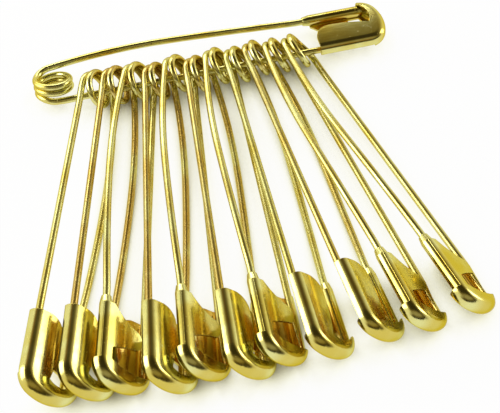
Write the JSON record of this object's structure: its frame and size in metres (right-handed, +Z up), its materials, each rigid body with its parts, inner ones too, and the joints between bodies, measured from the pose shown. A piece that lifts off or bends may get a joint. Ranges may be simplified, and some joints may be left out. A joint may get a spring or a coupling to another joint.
{
  "type": "safety pin",
  "caption": "Safety pins hung by their coils on the needle of another safety pin and lying in a fan. Each needle opens out of its cap, and the hung pins swing about the strung needle.",
  "frame": {"origin": "centre of the bounding box, on the table", "axes": "+X along the strung needle from its coil to its cap, the hung pins point to -Y, +Z up from the table"},
  "size_m": [0.087, 0.0815, 0.01],
  "materials": {
    "wire": "polished",
    "cap": "polished"
  },
  "bodies": {
    "clasp": {"carrier_back_leg": "wire", "carrier_coil": "wire", "carrier_cap": "cap"},
    "strung_needle": {"carrier_needle": "wire"},
    "pin_01": {"pin_01_back_leg": "wire", "pin_01_coil": "wire", "pin_01_cap": "cap"},
    "pin_01_point": {"pin_01_needle": "wire"},
    "pin_02": {"pin_02_back_leg": "wire", "pin_02_coil": "wire", "pin_02_cap": "cap"},
    "pin_02_point": {"pin_02_needle": "wire"},
    "pin_03": {"pin_03_back_leg": "wire", "pin_03_coil": "wire", "pin_03_cap": "cap"},
    "pin_03_point": {"pin_03_needle": "wire"},
    "pin_04": {"pin_04_back_leg": "wire", "pin_04_coil": "wire", "pin_04_cap": "cap"},
    "pin_04_point": {"pin_04_needle": "wire"},
    "pin_05": {"pin_05_back_leg": "wire", "pin_05_coil": "wire", "pin_05_cap": "cap"},
    "pin_05_point": {"pin_05_needle": "wire"},
    "pin_06": {"pin_06_back_leg": "wire", "pin_06_coil": "wire", "pin_06_cap": "cap"},
    "pin_06_point": {"pin_06_needle": "wire"},
    "pin_07": {"pin_07_back_leg": "wire", "pin_07_coil": "wire", "pin_07_cap": "cap"},
    "pin_07_point": {"pin_07_needle": "wire"},
    "pin_08": {"pin_08_back_leg": "wire", "pin_08_coil": "wire", "pin_08_cap": "cap"},
    "pin_08_point": {"pin_08_needle": "wire"},
    "pin_09": {"pin_09_back_leg": "wire", "pin_09_coil": "wire", "pin_09_cap": "cap"},
    "pin_09_point": {"pin_09_needle": "wire"},
    "pin_10": {"pin_10_back_leg": "wire", "pin_10_coil": "wire", "pin_10_cap": "cap"},
    "pin_10_point": {"pin_10_needle": "wire"},
    "pin_11": {"pin_11_back_leg": "wire", "pin_11_coil": "wire", "pin_11_cap": "cap"},
    "pin_11_point": {"pin_11_needle": "wire"}
  },
  "joints": [
    {"name": "carrier_opening", "type": "hinge", "parent": "clasp", "child": "strung_needle", "pos_m": [-0.02747, 0.03429, 0.00456], "axis": [0.0016, 0.1392, -0.9903], "range_deg": [0, 32], "deforming": ["carrier_coil"]},
    {"name": "pin_01_swing", "type": "hinge", "parent": "strung_needle", "child": "pin_01", "pos_m": [-0.02097, 0.03032, 0.00372], "axis": [-1, 0, -0.0035], "range_deg": [0, 85]},
    {"name": "pin_02_swing", "type": "hinge", "parent": "strung_needle", "child": "pin_02", "pos_m": [-0.02097, 0.03032, 0.00372], "axis": [-1, 0, -0.0035], "range_deg": [0, 85]},
    {"name": "pin_03_swing", "type": "hinge", "parent": "strung_needle", "child": "pin_03", "pos_m": [-0.02097, 0.03032, 0.00372], "axis": [-1, 0, -0.0035], "range_deg": [0, 85]},
    {"name": "pin_04_swing", "type": "hinge", "parent": "strung_needle", "child": "pin_04", "pos_m": [-0.02097, 0.03032, 0.00372], "axis": [-1, 0, -0.0035], "range_deg": [0, 85]},
    {"name": "pin_05_swing", "type": "hinge", "parent": "strung_needle", "child": "pin_05", "pos_m": [-0.02097, 0.03032, 0.00372], "axis": [-1, 0, -0.0035], "range_deg": [0, 85]},
    {"name": "pin_06_swing", "type": "hinge", "parent": "strung_needle", "child": "pin_06", "pos_m": [-0.02097, 0.03032, 0.00372], "axis": [-1, 0, -0.0035], "range_deg": [0, 85]},
    {"name": "pin_07_swing", "type": "hinge", "parent": "strung_needle", "child": "pin_07", "pos_m": [-0.02097, 0.03032, 0.00372], "axis": [-1, 0, -0.0035], "range_deg": [0, 85]},
    {"name": "pin_08_swing", "type": "hinge", "parent": "strung_needle", "child": "pin_08", "pos_m": [-0.02097, 0.03032, 0.00372], "axis": [-1, 0, -0.0035], "range_deg": [0, 85]},
    {"name": "pin_09_swing", "type": "hinge", "parent": "strung_needle", "child": "pin_09", "pos_m": [-0.02097, 0.03032, 0.00372], "axis": [-1, 0, -0.0035], "range_deg": [0, 85]},
    {"name": "pin_10_swing", "type": "hinge", "parent": "strung_needle", "child": "pin_10", "pos_m": [-0.02097, 0.03032, 0.00372], "axis": [-1, 0, -0.0035], "range_deg": [0, 85]},
    {"name": "pin_11_swing", "type": "hinge", "parent": "strung_needle", "child": "pin_11", "pos_m": [-0.02097, 0.03032, 0.00372], "axis": [-1, 0, -0.0035], "range_deg": [0, 85]},
    {"name": "pin_01_opening", "type": "hinge", "parent": "pin_01", "child": "pin_01_point", "pos_m": [-0.01882, 0.03113, 0.00416], "axis": [-0.5512, 0.1591, -0.819], "range_deg": [0, 32], "deforming": ["pin_01_coil"]},
    {"name": "pin_02_opening", "type": "hinge", "parent": "pin_02", "child": "pin_02_point", "pos_m": [-0.01457, 0.03114, 0.00416], "axis": [-0.5564, 0.1398, -0.819], "range_deg": [0, 15], "deforming": ["pin_02_coil"]},
    {"name": "pin_03_opening", "type": "hinge", "parent": "pin_03", "child": "pin_03_point", "pos_m": [-0.01032, 0.03114, 0.00416], "axis": [0.1556, -0.0227, 0.9876], "range_deg": [0, 3], "deforming": ["pin_03_coil"]},
    {"name": "pin_04_opening", "type": "hinge", "parent": "pin_04", "child": "pin_04_point", "pos_m": [-0.00631, 0.03002, 0.00417], "axis": [-0.5665, 0.0908, -0.819], "range_deg": [0, 15], "deforming": ["pin_04_coil"]},
    {"name": "pin_05_opening", "type": "hinge", "parent": "pin_05", "child": "pin_05_point", "pos_m": [-0.00186, 0.03111, 0.00416], "axis": [0.157, -0.009, 0.9876], "range_deg": [0, 3], "deforming": ["pin_05_coil"]},
    {"name": "pin_06_opening", "type": "hinge", "parent": "pin_06", "child": "pin_06_point", "pos_m": [0.00223, 0.02982, 0.00418], "axis": [-0.5719, 0.0461, -0.819], "range_deg": [0, 15], "deforming": ["pin_06_coil"]},
    {"name": "pin_07_opening", "type": "hinge", "parent": "pin_07", "child": "pin_07_point", "pos_m": [0.0066, 0.03102, 0.00416], "axis": [0.1572, 0.0033, 0.9876], "range_deg": [0, 3], "deforming": ["pin_07_coil"]},
    {"name": "pin_08_opening", "type": "hinge", "parent": "pin_08", "child": "pin_08_point", "pos_m": [0.01082, 0.03032, 0.00417], "axis": [-0.5737, -0.003, -0.819], "range_deg": [0, 15], "deforming": ["pin_08_coil"]},
    {"name": "pin_09_opening", "type": "hinge", "parent": "pin_09", "child": "pin_09_point", "pos_m": [0.01504, 0.03112, 0.00416], "axis": [-0.5716, -0.049, -0.819], "range_deg": [0, 15], "deforming": ["pin_09_coil"]},
    {"name": "pin_10_opening", "type": "hinge", "parent": "pin_10", "child": "pin_10_point", "pos_m": [0.01931, 0.03072, 0.00416], "axis": [0.1535, 0.0341, 0.9876], "range_deg": [0, 3], "deforming": ["pin_10_coil"]},
    {"name": "pin_11_opening", "type": "hinge", "parent": "pin_11", "child": "pin_11_point", "pos_m": [0.02351, 0.03091, 0.00416], "axis": [0.1502, 0.0465, 0.9876], "range_deg": [0, 32], "deforming": ["pin_11_coil"]}
  ],
  "couplings": [
    {"joint": "pin_02_swing", "follows": "pin_01_swing", "ratio": 1},
    {"joint": "pin_03_swing", "follows": "pin_01_swing", "ratio": 1},
    {"joint": "pin_04_swing", "follows": "pin_01_swing", "ratio": 1},
    {"joint": "pin_05_swing", "follows": "pin_01_swing", "ratio": 1},
    {"joint": "pin_06_swing", "follows": "pin_01_swing", "ratio": 1},
    {"joint": "pin_07_swing", "follows": "pin_01_swing", "ratio": 1},
    {"joint": "pin_08_swing", "follows": "pin_01_swing", "ratio": 1},
    {"joint": "pin_09_swing", "follows": "pin_01_swing", "ratio": 1},
    {"joint": "pin_10_swing", "follows": "pin_01_swing", "ratio": 1},
    {"joint": "pin_11_swing", "follows": "pin_01_swing", "ratio": 1}
  ]
}
